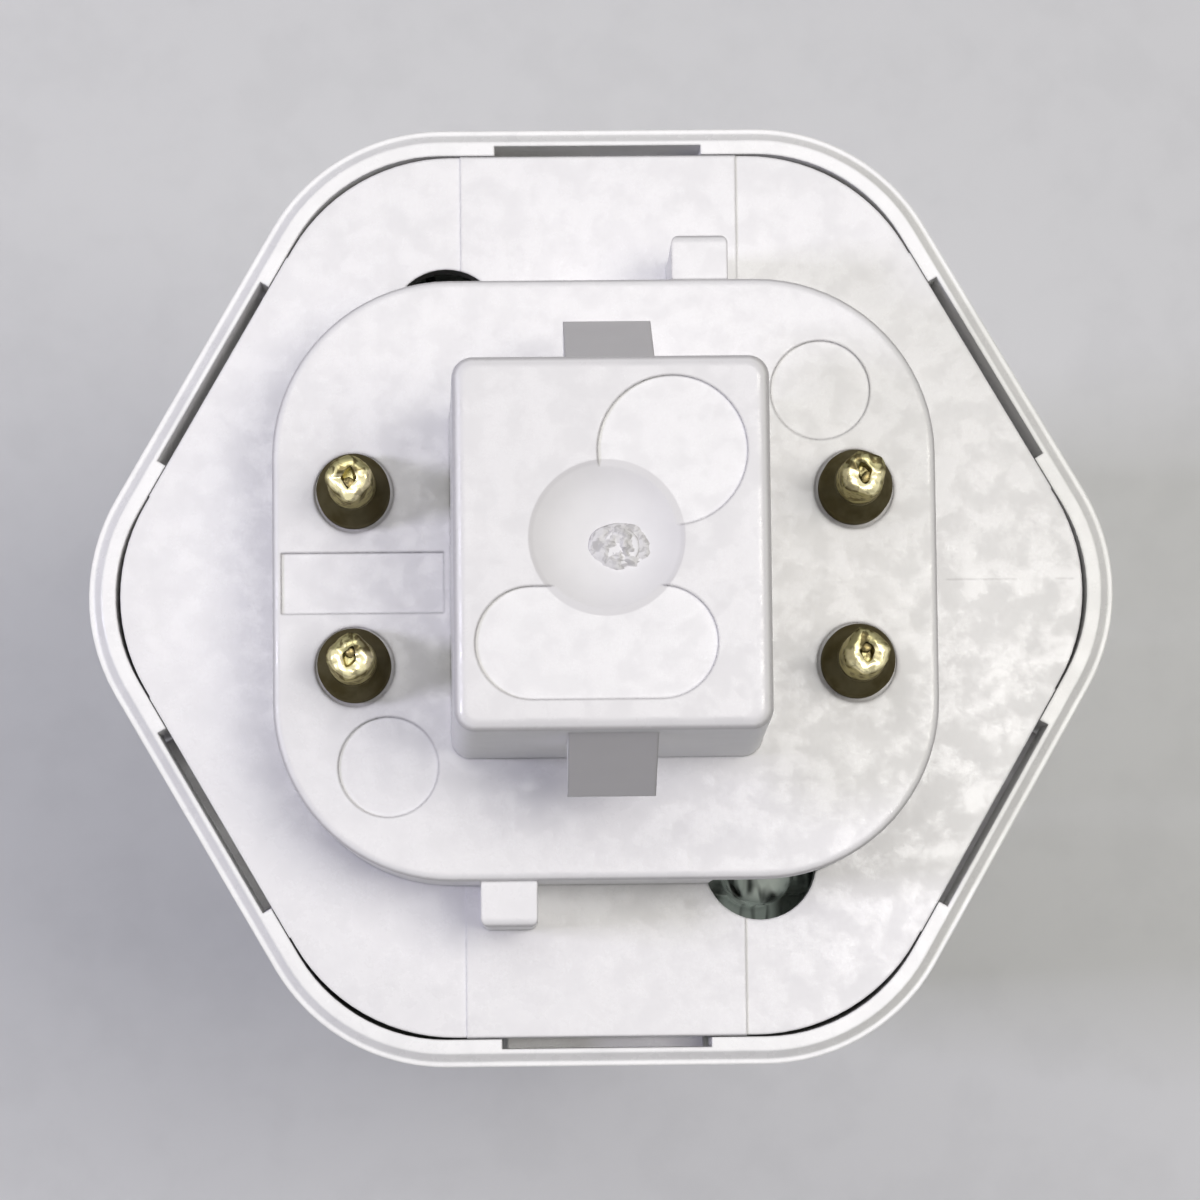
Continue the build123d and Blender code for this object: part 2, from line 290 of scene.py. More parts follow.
glass = Finish("coated_glass")
level = glass.axis("Z")
cloud = glass.noise(coat_cloud_size, detail=3.0, stretch=(1, 1, 0.25))
ripple = glass.noise(ripple_size, detail=1.0, stretch=(1, 1, 0.4))
# The bare glass is painted in streaks: near-black painted shade between lighter glass.
shade_streak = glass.noise(shade_streak_size, detail=2.0, stretch=(1, 0.2, 0.3), distortion=0.3)
shade_streak = glass.step(shade_streak, 0.50, 0.64)
bare = glass.step(level, bare_glass_level, bare_glass_level + coat_fade)
coat = glass.blend(glass.step(cloud, 0.35, 0.75), glass_white, glass_thin_coat)
# Painted light: the lighter streaks glow at the stub's tip and behind a vent.
stub_end = glass.step(level, pinch_top - stub_painted_glow_fade, pinch_top + stub_painted_glow_fade)
painted_glow_behind_vent = vent_painted_glow
for axis_name, dark_at, lit_at in vent_painted_glow_spans:
    painted_glow_behind_vent = painted_glow_behind_vent * glass.step(glass.axis(axis_name), dark_at, lit_at)
lit = (1 - shade_streak) * either(stub_end, painted_glow_behind_vent)
glass.wear(
    Base_Color=glass.blend(bare, coat, glass.blend(shade_streak, glass_bare, glass_painted_shade)),
    Roughness=0.42 - 0.3 * bare + 0.08 * cloud,
    Coat_Weight=0.9 - 0.1 * cloud,
    Coat_Roughness=0.03,
    Emission_Color=glass.blend(lit, no_glow, glass_painted_glow),
    Emission_Strength=1.0,
    Normal=glass.bump(ripple, ripple_depth, strength=0.25),
)

tubes = Recipe("fused_tubes", Bridge_Start="Vector", Bridge_End="Vector", Bridge_Radius="Float",
               Bridge_Flare="Float", Flare_Reach="Float", Pinch_Half_Size="Vector",
               Exhaust_Radius="Float", Pinch_Low="Vector", Pinch_High="Vector", Exhaust_High="Vector",
               Pinch_X="Float", Pinch_Y="Float")
ring = tubes.node("GeometryNodeCurvePrimitiveCircle", {}, {"Resolution": tube_sides, "Radius": 1.0})
along = tubes.node("GeometryNodeSplineParameter")
own_radius = tubes.node("GeometryNodeInputRadius")


def swept(path, caps):
    """Round tube along a path, as wide as the path's own radius at each point."""
    sockets = {"Curve": path, "Profile Curve": ring, "Scale": own_radius, "Fill Caps": caps}
    tube = tubes.node("GeometryNodeCurveToMesh", {}, sockets)
    return tubes.node("GeometryNodeMergeByDistance", {}, {0: tube, "Distance": weld})


def straight(start, end, count, radius):
    """Straight path between two named points, with a radius that changes along it."""
    ends = {"Start": tubes.size(start), "End": tubes.size(end)}
    line = tubes.node("GeometryNodeCurvePrimitiveLine", {}, ends)
    line = tubes.node("GeometryNodeResampleCurve", {}, {"Curve": line, "Count": count})
    return tubes.node("GeometryNodeSetCurveRadius", {}, {"Curve": line, "Radius": radius})


def fused(shapes):
    """One closed skin round all the shapes."""
    settings = {"operation": "UNION", "solver": "MANIFOLD"}
    return tubes.node("GeometryNodeMeshBoolean", settings, {1: shapes})


bends = tubes.around(swept(tubes.size("Source"), False), 3, bend_turn)
flare = (abs(along - 0.5) * tubes.size("Flare_Reach")).up_to(1.0)
flare = flare ** 3 * tubes.size("Bridge_Flare")
bridge = straight("Bridge_Start", "Bridge_End", bridge_steps, tubes.size("Bridge_Radius") + flare)
bridges = tubes.around(swept(bridge, True), 2, bend_turn)
round_end = (1 - along ** end_squareness) ** 0.5
blade = swept(straight("Pinch_Low", "Pinch_High", pinch_steps, round_end), True)
blade = tubes.node("GeometryNodeTransform", {}, {0: blade, "Scale": tubes.size("Pinch_Half_Size")})
stub_end_radius = round_end * tubes.size("Exhaust_Radius")
stub = swept(straight("Pinch_Low", "Exhaust_High", pinch_steps, stub_end_radius), True)
side = tubes.node("GeometryNodeInputIndex") * 2 - 1
pinch_spot = {"X": side * tubes.size("Pinch_X"), "Y": tubes.size("Pinch_Y")}
pinch_spot = tubes.node("ShaderNodeCombineXYZ", {}, pinch_spot)
pinch_spots = tubes.node("GeometryNodePoints", {}, {"Count": 2, "Position": pinch_spot})
pinches = {"Points": pinch_spots, "Instance": fused([blade, stub])}
pinches = tubes.node("GeometryNodeInstanceOnPoints", {}, pinches)
solids = []
for shape in (bends, bridges, pinches):
    solids.append(tubes.node("GeometryNodeRealizeInstances", {}, {0: shape}))
discharge_tube = tubes.make(
    "discharge_tube_glass", bent_centreline(300, 360), fused(solids), glass.material,
    Bridge_Start=leg_spot(0, bridge_level), Bridge_End=leg_spot(60, bridge_level),
    Bridge_Radius=bridge_radius, Bridge_Flare=bridge_flare,
    Flare_Reach=ring_radius / (leg_gap / 2 + bridge_flare),
    Pinch_Half_Size=(pinch_width / 2, pinch_thickness / 2, 1), Exhaust_Radius=exhaust_radius,
    Pinch_Low=(0, 0, leg_end_level - dome_height), Pinch_High=(0, 0, pinch_top),
    Exhaust_High=(0, 0, tube_high.z),
    Pinch_X=ring_radius * math.cos(leg_turn), Pinch_Y=-ring_radius * math.sin(leg_turn),
)
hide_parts("discharge_tube")
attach(discharge_tube, "root")

# Lead wires: four bare nickel-plated wires from the pressed ends of the glass to the contact pins.
# They are bent by hand inside the cap and crimped in the pins.
wire_metal = (0.60, 0.57, 0.53, 1)
wire_dull = (0.34, 0.30, 0.26, 1)
wire_patch_size = 1.5 * mm
wire = Finish("wire_metal")
dull = wire.step(wire.noise(wire_patch_size, detail=3.0), 0.4, 0.7)
wire.wear(
    Base_Color=wire.blend(dull, wire_metal, wire_dull),
    Metallic=1.0,
    Roughness=0.28 + 0.2 * dull,
)
for number in range(1, 5):
    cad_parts[f"lead_wire_{number}"].material_slots[0].material = wire.material

# Basing cement: a grey-white filled resin, poured on the collar's floor round the legs and baked hard.
# It holds the tube in the collar.
cement_pale = (0.62, 0.60, 0.54, 1)
cement_dark = (0.44, 0.42, 0.37, 1)
cement_cloud_size = 3 * mm
cement_grain_size = 0.5 * mm
cement_grain_depth = 0.1 * mm
cement = Finish("basing_cement")
cloud = cement.step(cement.noise(cement_cloud_size, detail=3.0), 0.35, 0.7)
grain = cement.noise(cement_grain_size, detail=5.0)
cement.wear(
    Base_Color=cement.blend(cloud, cement_pale, cement_dark),
    Roughness=0.78 + 0.15 * grain,
    Normal=cement.bump(grain, cement_grain_depth, strength=0.6),
)
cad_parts["basing_cement"].material_slots[0].material = cement.material

# Collar: a hexagonal cup moulded in glossy white plastic, with six snap slots in its stepped rim.
# The base cover snaps into it, and it carries the glass.
collar_white = (0.95, 0.948, 0.942, 1)
collar_cloud = (0.90, 0.898, 0.894, 1)
# Painted shade: collar_edge_shade darkens the collar's creases and rounded edges.
collar_edge_shade = (0.60, 0.58, 0.58, 1)
plastic_cloud_size = 1.4 * mm
plastic_grain_size = 0.3 * mm
plastic_patch_size = 1.3 * mm
plastic_texture_depth = 0.05 * mm
plastic_texture_strength = 0.08
plastic_edge_radius = 0.17 * mm
plastic_dulled_roughness = 0.65
# How much painted shade the edges get: less low on the collar, more at the cap's top and on rounded edges.
edge_shade_low = 0.10
edge_shade_high = 0.65
edge_shade_low_level = -6 * mm
edge_shade_high_level = -1 * mm
edge_shade_on_rounding = 0.85


def moulded_plastic(name, colour, cloud_colour, edge_shade_colour, matt, gloss, marks=None):
    """White moulded plastic: cloudy colour, glossy patches on a satin ground, and softened edges with
    painted shade.
    """
    plastic = Finish(name)
    flat = plastic.node("ShaderNodeNewGeometry", output="Normal")
    soft = plastic.node("ShaderNodeBevel", {"samples": 4}, {"Radius": plastic_edge_radius})
    settings = {"operation": "DOT_PRODUCT"}
    agree = plastic.node("ShaderNodeVectorMath", settings, {0: soft, 1: flat}, output="Value")
    # Painted shade: creases and steep rounded edges are darkened towards the edge colour, more near the
    # cap's top.
    crease = plastic.step(agree, 0.97, 0.80)
    slope = plastic.node("ShaderNodeSeparateXYZ", {}, {0: flat}, output="Z")
    rounding = edge_shade_on_rounding * plastic.step(slope, 0.2, 0.4) * plastic.step(slope, 0.86, 0.6)
    edge_shade_rise = plastic.step(plastic.axis("Z"), edge_shade_low_level, edge_shade_high_level)
    painted_edge_shade = (edge_shade_low + (edge_shade_high - edge_shade_low) * edge_shade_rise) * either(crease, rounding)
    level_face = plastic.step(slope, 0.3, 0.7)
    patch = plastic.noise(plastic_patch_size, detail=8.0, crisp=0.62)
    patch = level_face * plastic.step(patch, 0.40, 0.64)
    grain = plastic.noise(plastic_grain_size, detail=3.0)
    uneven = 0.7 * patch + 0.3 * level_face * grain
    cloud = plastic.step(plastic.noise(plastic_cloud_size, detail=6.0), 0.36, 0.70)
    body = plastic.blend(cloud, colour, cloud_colour)
    roughness = matt - (matt - gloss) * patch
    if marks:
        body, dulled = marks(plastic, body)
        roughness = roughness + dulled * (plastic_dulled_roughness - roughness)
    plastic.wear(
        Base_Color=plastic.blend(painted_edge_shade, body, edge_shade_colour),
        Roughness=roughness,
        Normal=plastic.bump(uneven, plastic_texture_depth, plastic_texture_strength, Normal=soft),
    )
    return plastic


collar_plastic = moulded_plastic("collar_plastic", collar_white, collar_cloud, collar_edge_shade,
                                 matt=0.30, gloss=0.22)
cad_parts["collar"].material_slots[0].material = collar_plastic.material

# Base cover: the cap's moulding in white plastic, with a plate that snaps into the collar, a hollow neck,
# two key ribs, two vents and a post with two catches. The gate left a torn stub in a dish on the post.
cover_white = (0.86, 0.853, 0.860, 1)
cover_cloud = (0.835, 0.828, 0.836, 1)
# Painted shade and marks: this colour darkens the cap's creases and rounded edges and colours its marks.
cover_edge_shade_and_marks = (0.46, 0.44, 0.45, 1)
post_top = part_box("base_cover")[1].z
plate_top = -7.5 * mm
pin_boxes = [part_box(f"contact_pin_{number}") for number in range(1, 5)]
pin_spacing_x = pin_boxes[2][0].x - pin_boxes[0][0].x
pin_spacing_y = pin_boxes[1][0].y - pin_boxes[0][0].y
pin_ring_inner = 1.95 * mm
pin_ring_outer = 2.25 * mm
pin_ring_wander = 0.35 * mm
pin_ring_grain = 0.8 * mm
pin_ring_share = 0.5
witness_y = 0.48 * mm
witness_spans = [(16.3 * mm, 19.9 * mm), (21.5 * mm, 22.6 * mm)]
witness_fade = 0.2 * mm
witness_inner = 0.02 * mm
witness_outer = 0.07 * mm
witness_share = 0.4
dish_x = -0.23 * mm
dish_y = 0.2 * mm
dish_radius = 3.3 * mm
dish_painted_shade_share = 0.20
post_end_grey_share = 0.15
vent_x = 7.33 * mm
vent_y = 12.95 * mm
vent_radius = 2.65 * mm
# Painted shade: the near-black of the vents' walls.
vent_painted_shade = (0.08, 0.075, 0.075, 1)


def distance(across, upward):
    """Distance of a point from an axis, out of its two offsets."""
    return (across * across + upward * upward) ** 0.5


def cap_marks_and_shade(plastic, body):
    """Colour of the cap with its marks and painted shade, and where it is dulled: grey rings round the pins,
    the mould's broken witness line, a matt dish with painted shade inside its rim, a greyer post end and
    vent walls painted dark as painted shade."""
    x = plastic.axis("X")
    y = plastic.axis("Y")
    z = plastic.axis("Z")
    from_pin = distance(abs(x) - pin_spacing_x / 2, abs(y) - pin_spacing_y / 2)
    from_pin = from_pin + pin_ring_wander * plastic.noise(pin_ring_grain, detail=3.0)
    on_face = plastic.step(z, -0.6 * mm, -0.3 * mm)
    marks = pin_ring_share * on_face * plastic.step(from_pin, pin_ring_outer, pin_ring_inner)
    line = witness_share * plastic.step(abs(y - witness_y), witness_outer, witness_inner)
    for start, end in witness_spans:
        inside = plastic.step(x, start, start + witness_fade) * plastic.step(x, end, end - witness_fade)
        marks = marks + line * inside
    from_dish = distance(x - dish_x, y - dish_y)
    dish = plastic.step(z, post_top - 1.0 * mm, post_top - 0.9 * mm)
    dish = dish * plastic.step(from_dish, 1.02 * dish_radius, dish_radius)
    # Painted shade: a grey ring inside the dish's rim, on a matt floor.
    marks = marks + dish_painted_shade_share * dish * plastic.step(from_dish, 0.45 * dish_radius, 0.97 * dish_radius)
    # The post's end face is made greyer.
    post_end_grey = plastic.step(z, post_top - 0.10 * mm, post_top - 0.03 * mm)
    marked = plastic.blend(marks + post_end_grey_share * post_end_grey, body, cover_edge_shade_and_marks)
    side = y.single("SIGN")
    from_vent = distance(x + vent_x * side, y - vent_y * side)
    # Painted shade: the vents' walls below the plate's top are painted near black.
    vent = plastic.step(from_vent, vent_radius + 0.10 * mm, vent_radius + 0.03 * mm)
    vent = vent * plastic.step(z, plate_top - 0.01 * mm, plate_top - 0.15 * mm)
    return plastic.blend(vent, marked, vent_painted_shade), dish


cover_plastic = moulded_plastic("cap_plastic", cover_white, cover_cloud, cover_edge_shade_and_marks,
                                matt=0.42, gloss=0.15, marks=cap_marks_and_shade)
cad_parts["base_cover"].material_slots[0].material = cover_plastic.material

stub_x = 0.38 * mm
stub_y = -0.17 * mm
stub_length = 1.45 * mm
stub_width = 1.08 * mm
stub_height = 0.32 * mm
stub_floor = post_top - 0.62 * mm
stub_sink = 0.06 * mm
stub_rings = 14
stub_sides = 40
stub_outline_wander = 0.16
stub_outline_pitch = 1.7
stub_outline_draw = 4.2
stub_lumps_per_metre = 2300
torn_white = (0.74, 0.73, 0.73, 1)
torn_grey = (0.52, 0.51, 0.51, 1)
tear_size = 0.35 * mm
tear_depth = 0.06 * mm
torn = Finish("torn_plastic")
tear = torn.noise(tear_size, detail=4.0, distortion=0.8)
torn.wear(
    Base_Color=torn.blend(torn.step(tear, 0.45, 0.65), torn_white, torn_grey),
    Roughness=0.5 + 0.2 * tear,
    Normal=torn.bump(tear, tear_depth, strength=0.3),
)


def torn_stub():
    """Low lump of torn plastic: a disc whose height and outline wander, sunk a little into the dish."""
    shape = bmesh.new()
    rings = []
    for ring_number in range(stub_rings + 1):
        share = ring_number / stub_rings
        ring_points = []
        for side_number in range(stub_sides):
            angle = 2 * math.pi * side_number / stub_sides
            cosine = math.cos(angle)
            sine = math.sin(angle)
            draw = Vector((stub_outline_pitch * cosine, stub_outline_pitch * sine, stub_outline_draw))
            reach = share * (1 + stub_outline_wander * noise.noise(draw))
            x = reach * stub_length * cosine
            y = reach * stub_width * sine
            lump = noise.fractal(Vector((x, y, 0.0)) * stub_lumps_per_metre, 0.7, 2.1, 3)
            height = stub_height * (1 - share ** 6) * (0.75 + 0.75 * lump) - stub_sink * share
            ring_points.append(shape.verts.new((stub_x + x, stub_y + y, stub_floor + height)))
        rings.append(ring_points)
    for inner, outer in zip(rings, rings[1:]):
        for corner in range(stub_sides):
            after = (corner + 1) % stub_sides
            shape.faces.new((inner[corner], outer[corner], outer[after], inner[after]))
    shape.faces.new(list(reversed(rings[-1])))
    bmesh.ops.remove_doubles(shape, verts=shape.verts, dist=weld)
    bmesh.ops.recalc_face_normals(shape, faces=shape.faces)
    mesh = bpy.data.meshes.new("gate_stub")
    shape.to_mesh(mesh)
    shape.free()
    mesh.shade_smooth()
    mesh.materials.append(torn.material)
    return bpy.data.objects.new("gate_stub", mesh)


gate_stub = torn_stub()
bpy.context.scene.collection.objects.link(gate_stub)
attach(gate_stub, "root")

# Contact pins: four turned brass pins, riveted through the cap's face, each crimped at its nose over the
# end of a lead wire. The feet are dark, partly with tarnish and partly with painted shade; the crimped
# ends are rubbed bright, with a painted highlight kept to their -Y side.
pin_low = pin_boxes[0][0].z
pin_top = pin_boxes[0][1].z
pin_radius = 1.67 * mm
pin_shank_radius = 1.4 * mm
pin_flange_radius = 1.9 * mm
pin_flange_top = -3.4 * mm
pin_seat = -0.08 * mm
pin_foot_top = 1.2 * mm
pin_shoulder_top = 2.9 * mm
pin_nose_radius = 1.06 * mm
pin_tip_radius = 1.0 * mm
pin_nose_top = pin_top - 0.5 * mm
pin_sides = 72
nose_rings = 16
bore_radius = 0.3 * mm
bore_top = -2.4 * mm
crimp_half_length = 0.52 * mm
crimp_half_width = 0.31 * mm
crimp_lean = 1.25
crimp_pointedness = 1.4
crimp_pit = [(0.0, pin_top - 0.6 * mm), (0.7, pin_top - 0.6 * mm), (0.92, pin_top - 0.3 * mm)]
crimp_rings = 12
end_drop = 0.05 * mm
end_lump_height = 0.05 * mm
end_lumps_per_metre = 1700
end_rim_drop = 0.30 * mm
end_hole_drop = 0.06 * mm
pin_squeezes = [(4, 0.055, 0.6), (3, 0.04, 2.0)]
pin_turn = 3.34
dent_size = 0.62 * mm
dent_depth = 0.30 * mm
brass_bright = (1.0, 0.90, 0.54, 1)
brass_dull = (0.45, 0.41, 0.215, 1)
brass_brown = (0.12, 0.098, 0.046, 1)
# Partly tarnish, partly painted shade: the dark colours of the pins' feet, darkened for what they mirror.
brass_tarnish_and_shade = (0.060, 0.050, 0.027, 1)
brass_olive_tarnish_and_shade = (0.098, 0.087, 0.054, 1)
brass_grazing = (0.66, 0.61, 0.48, 1)
patina_size = 0.9 * mm
patina_depth = 0.03 * mm
mottle_size = 0.5 * mm
turning_pitch = 0.12 * mm
foot_dark_wander = 0.5 * mm
foot_dark_top = pin_shoulder_top + 0.62 * mm
foot_dark_full = pin_shoulder_top + 0.40 * mm
rub_start = pin_top - 0.36 * mm
rub_full = pin_top - 0.20 * mm
# Painted highlight: these keep the bright end to each pin's -Y side.
highlight_wander = 0.9 * mm
highlight_side_start = 0.76 * mm
highlight_side_full = 0.60 * mm


def crimp_hole(angle):
    """Reach of the crimped hole at an angle: a leaning lozenge."""
    lean = angle - crimp_lean
    along = (abs(math.cos(lean)) / crimp_half_length) ** crimp_pointedness
    across = (abs(math.sin(lean)) / crimp_half_width) ** crimp_pointedness
    return (along + across) ** (-1 / crimp_pointedness)


def pin_reach(angle, radius, level):
    """Radius of the pin at a height: round below, squeezed to uneven sides towards the tip."""
    squeeze = max(0.0, (level - pin_shoulder_top) / (pin_top - pin_shoulder_top)) ** 1.5
    dent = sum(depth * math.cos(sides * angle + turn) for sides, depth, turn in pin_squeezes)
    return radius * (1 + squeeze * dent)


def pin_ring_points():
    """Rings of points down the pin: pit, crimped end, nose, foot, shank, flange and wire bore."""
    rings = []
    angles = [2 * math.pi * side_number / pin_sides for side_number in range(pin_sides)]
    for share, level in crimp_pit:
        rings.append([(share * crimp_hole(angle), angle, level) for angle in angles])
    for ring_number in range(crimp_rings):
        share = ring_number / (crimp_rings - 1)
        ring_points = []
        for angle in angles:
            outer = pin_reach(angle, pin_tip_radius, pin_top)
            radius = crimp_hole(angle) * (1 - share) + outer * share
            spot = Vector((radius * math.cos(angle), radius * math.sin(angle), 0.0))
            drop = end_drop + end_lump_height * noise.noise(spot * end_lumps_per_metre)
            drop += end_rim_drop * share ** 4 + end_hole_drop * (1 - share) ** 5
            ring_points.append((radius, angle, pin_top - drop))
        rings.append(ring_points)
    outline = []
    for ring_number in range(nose_rings + 1):
        share = ring_number / nose_rings
        radius = pin_tip_radius + (pin_nose_radius - pin_tip_radius) * share ** 0.8
        outline.append((radius, pin_nose_top + (pin_shoulder_top - pin_nose_top) * share))
    outline += [
        (pin_nose_radius + 0.04 * mm, pin_shoulder_top),
        (pin_radius - 0.05 * mm, pin_foot_top + 0.12 * mm),
        (pin_radius, pin_foot_top),
        (pin_radius, pin_seat),
        (pin_shank_radius, pin_seat),
        (pin_shank_radius, pin_flange_top),
        (pin_flange_radius, pin_flange_top),
        (pin_flange_radius, pin_low),
        (bore_radius, pin_low),
        (bore_radius, bore_top),
        (0.0, bore_top),
    ]
    for radius, level in outline:
        rings.append([(pin_reach(angle, radius, level), angle, level) for angle in angles])
    return rings


def joined_rings(name, rings):
    """Mesh through rings of points, each point given by its radius, angle and level."""
    shape = bmesh.new()
    loops = []
    for ring_points in rings:
        loop = []
        for radius, angle, level in ring_points:
            loop.append(shape.verts.new((radius * math.cos(angle), radius * math.sin(angle), level)))
        loops.append(loop)
    for upper, lower in zip(loops, loops[1:]):
        for corner in range(len(upper)):
            after = (corner + 1) % len(upper)
            shape.faces.new((upper[corner], lower[corner], lower[after], upper[after]))
    bmesh.ops.remove_doubles(shape, verts=shape.verts, dist=weld)
    bmesh.ops.recalc_face_normals(shape, faces=shape.faces)
    mesh = bpy.data.meshes.new(name)
    shape.to_mesh(mesh)
    shape.free()
    return bpy.data.objects.new(name, mesh)


brass = Finish("pin_brass")
level = brass.axis("Z")
patina = brass.noise(patina_size, detail=4.0, stretch=(1, 1, 0.5))
mottle = brass.step(brass.noise(mottle_size, detail=4.0, distortion=0.5), 0.46, 0.60)
turning = brass.noise(turning_pitch, detail=1.0, stretch=(0.1, 0.1, 1))
# Partly tarnish, partly painted shade: the feet below the shoulder are darkened.
foot = brass.step(level + foot_dark_wander * patina, foot_dark_top, foot_dark_full)
# Partly wear, partly painted highlight: the rubbed bright end is kept to the -Y side of each end.
row_side = brass.axis("Y").single("SIGN")
from_row = brass.axis("Y") - row_side * (pin_spacing_y / 2)
rubbed_and_highlight = brass.step(from_row + highlight_wander * patina, highlight_side_start, highlight_side_full)
rubbed_and_highlight = rubbed_and_highlight * brass.step(level, rub_start, rub_full) * (1 - 0.45 * mottle)
foot_tarnish_and_shade = brass.blend(brass.step(patina, 0.35, 0.65), brass_tarnish_and_shade, brass_olive_tarnish_and_shade)
body = brass.blend(foot, brass.blend(mottle, brass_dull, brass_brown), foot_tarnish_and_shade)
brass.wear(
    Base_Color=brass.blend(rubbed_and_highlight, body, brass_bright),
    Metallic=1.0,
    Specular_Tint=brass_grazing,
    Roughness=0.32 + 0.14 * patina + 0.14 * foot - 0.12 * rubbed_and_highlight,
    Normal=brass.bump(0.1 * turning + 0.9 * patina, patina_depth, strength=0.25),
)


def stand_at_pins(name, source, material, dent):
    """Sets a copy of a source in each pin's place, turned further than the last and dented its own way."""
    places = Recipe(name, Spacing_X="Float", Spacing_Y="Float", Turn="Float", Dent_Size="Float",
                    Dent_Depth="Float")
    index = places.node("GeometryNodeInputIndex")
    column = (index * 0.5).single("FLOOR")
    row = index - 2 * column
    place = {"X": (column - 0.5) * places.size("Spacing_X"), "Y": (row - 0.5) * places.size("Spacing_Y")}
    place = places.node("ShaderNodeCombineXYZ", {}, place)
    points = places.node("GeometryNodePoints", {}, {"Count": 4, "Position": place})
    rotation = places.node("ShaderNodeCombineXYZ", {}, {"Z": index * places.size("Turn")})
    sockets = {"Points": points, "Instance": places.size("Source"), "Rotation": rotation}
    copies = places.node("GeometryNodeInstanceOnPoints", {}, sockets)
    copies = places.node("GeometryNodeRealizeInstances", {}, {0: copies})
    spot = places.node("GeometryNodeInputPosition")
    level = places.node("ShaderNodeSeparateXYZ", {}, {0: spot}, output="Z")
    beaten = {"Value": level, "From Min": pin_shoulder_top, "From Max": pin_top}
    beaten = places.node("ShaderNodeMapRange", {}, beaten)
    sockets = {"Vector": spot, "Scale": 1 / places.size("Dent_Size"), "Detail": 1.0}
    dents = places.node("ShaderNodeTexNoise", {}, sockets, output="Color")
    sockets = {0: dents, 1: (0.5, 0.5, 0.5)}
    dents = places.node("ShaderNodeVectorMath", {"operation": "SUBTRACT"}, sockets)
    sockets = {0: dents, "Scale": beaten * places.size("Dent_Depth")}
    offset = places.node("ShaderNodeVectorMath", {"operation": "SCALE"}, sockets)
    copies = places.node("GeometryNodeSetPosition", {}, {0: copies, "Offset": offset})
    return places.make(name, source, copies, material, Spacing_X=pin_spacing_x, Spacing_Y=pin_spacing_y,
                       Turn=pin_turn, Dent_Size=dent_size, Dent_Depth=dent)


pin = joined_rings("pin", pin_ring_points())
contact_pins = stand_at_pins("contact_pins", pin, brass.material, dent_depth)
contact_pins.data.set_sharp_from_angle(angle=math.radians(40))
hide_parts("contact_pin_1", "contact_pin_2", "contact_pin_3", "contact_pin_4")
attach(contact_pins, "root")

# Wire ends: the cut tips of the four lead wires, squeezed in the pins' crimps.
# They are of the same wire, coloured a dark mottled brass-brown.
wire_radius = 0.24 * mm
wire_tip_profile = [
    (0.0, 0.13 * mm), (0.8, 0.15 * mm), (0.97, 0.2 * mm), (1.0, 0.3 * mm), (1.0, 0.6 * mm), (0.0, 0.6 * mm),
]
wire_tip_sides = 24
wire_tip_offset = (0.03 * mm, 0.20 * mm, 0)
wire_dent_depth = 0.3 * mm
wire_cut = (0.34, 0.27, 0.12, 1)
cut_mottle_size = 0.2 * mm
wire_tip = []
for share, depth in wire_tip_profile:
    angles = [2 * math.pi * side_number / wire_tip_sides for side_number in range(wire_tip_sides)]
    wire_tip.append([(share * wire_radius, angle, pin_top - depth) for angle in angles])
wire_end = joined_rings("wire_end", wire_tip)
wire_end.data.transform(Matrix.Translation(wire_tip_offset))
cut = Finish("wire_cut")
cut_mottle = cut.noise(cut_mottle_size, detail=3.0)
cut.wear(
    Base_Color=cut.blend(cut.step(cut_mottle, 0.4, 0.6), wire_cut, brass_brown),
    Metallic=1.0,
    Roughness=0.3 + 0.2 * cut_mottle,
)
wire_ends = stand_at_pins("wire_ends", wire_end, cut.material, wire_dent_depth)
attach(wire_ends, "root")

# Studio: a plain pale floor under the standing lamp, a wide light above it, a cool one on its left, a warm
# one on its right and a small one that glints in the plastic. The camera looks down on the cap.
floor_half_width = 3.0
floor_level = tube_low.z - 0.02 * mm
floor_colour = (0.80, 0.805, 0.81, 1)
floor_fleck = (0.775, 0.78, 0.785, 1)
fleck_size = 4 * mm
corners = []
for x, y in [(-1, -1), (1, -1), (1, 1), (-1, 1)]:
    corners.append((x * floor_half_width, y * floor_half_width, floor_level))
floor_mesh = bpy.data.meshes.new("floor")
floor_mesh.from_pydata(corners, [], [(0, 1, 2, 3)])
paper = Finish("paper")
fleck = paper.noise(fleck_size, detail=4.0)
paper.wear(
    Base_Color=paper.blend(paper.step(fleck, 0.4, 0.7), floor_colour, floor_fleck),
    Roughness=0.85 + 0.1 * fleck,
)
floor_mesh.materials.append(paper.material)
floor = bpy.data.objects.new("floor", floor_mesh)
bpy.context.scene.collection.objects.link(floor)

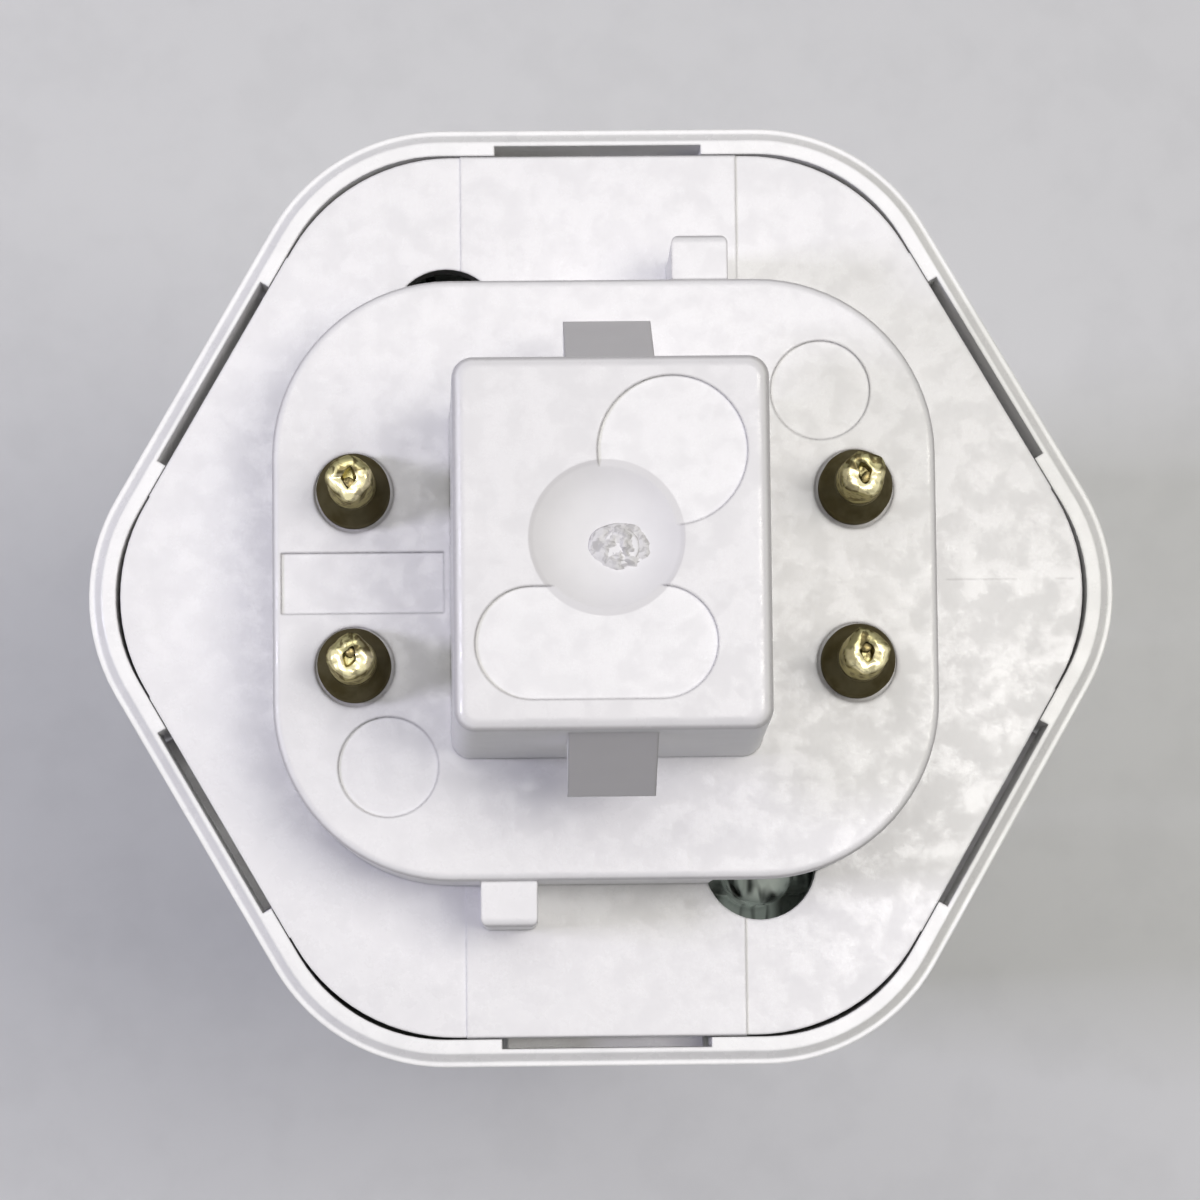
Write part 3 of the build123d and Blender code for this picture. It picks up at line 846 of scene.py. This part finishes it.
world_light = 0.10
backdrop_light = 0.80
backdrop_colour = (0.97, 0.985, 1.0, 1)
world = bpy.data.worlds.new("studio")
world.use_nodes = True
backdrop = Wiring()
backdrop.tree = world.node_tree
light_path = backdrop.tree.nodes.new("ShaderNodeLightPath")
camera_ray = Flow(backdrop, light_path.outputs["Is Camera Ray"])
glossy_ray = Flow(backdrop, light_path.outputs["Is Glossy Ray"])
clear_ray = Flow(backdrop, light_path.outputs["Is Transmission Ray"])
seen = (camera_ray + glossy_ray + clear_ray).up_to(1.0)
background = backdrop.tree.nodes["Background"]
backdrop.feed(background.inputs["Color"], backdrop_colour)
backdrop.feed(background.inputs["Strength"], world_light + seen * (backdrop_light - world_light))
bpy.context.scene.world = world


def soft_light(name, place, width, depth, power, colour):
    """Rectangular light at a place, turned to face the lamp."""
    light = bpy.data.lights.new(name, "AREA")
    light.shape = "RECTANGLE"
    light.size = width
    light.size_y = depth
    light.energy = power
    light.color = colour
    lamp = bpy.data.objects.new(name, light)
    lamp.location = place
    lamp.rotation_euler = (-Vector(place)).to_track_quat("-Z", "Y").to_euler()
    bpy.context.scene.collection.objects.link(lamp)


soft_light("overhead", place=(0.05, 0.11, 0.62), width=0.60, depth=0.27,
           power=1.70, colour=(1.0, 0.988, 0.97))
soft_light("cool_left", place=(-0.46, 0.0, 0.38), width=0.10, depth=0.10,
           power=1.20, colour=(0.83, 0.81, 1.0))
soft_light("warm_right", place=(0.24, 0.02, 0.58), width=0.20, depth=0.20,
           power=0.72, colour=(1.0, 0.95, 0.84))
soft_light("glint", place=(0.11, 0.0, 0.58), width=0.12, depth=0.10,
           power=0.28, colour=(1.0, 0.98, 0.95))

camera_place = Vector((-3.97, -19.15, 200.0)) * mm
camera_aim = Vector((-0.07, -0.145, -9.8)) * mm
camera_view_degrees = 15.6
camera_roll_degrees = -0.62
camera = bpy.data.cameras.new("camera")
camera.angle = math.radians(camera_view_degrees)
camera.clip_start = 0.01
forward = (camera_aim - camera_place).normalized()
right = forward.cross(Vector((0, 1, 0))).normalized()
upward = right.cross(forward)
view = Matrix((right, upward, -forward)).transposed().to_4x4()
roll = Matrix.Rotation(math.radians(camera_roll_degrees), 4, "Z")
eye = bpy.data.objects.new("camera", camera)
eye.matrix_world = Matrix.Translation(camera_place) @ view @ roll
bpy.context.scene.collection.objects.link(eye)
bpy.context.scene.camera = eye
bpy.context.scene.view_settings.view_transform = "Standard"
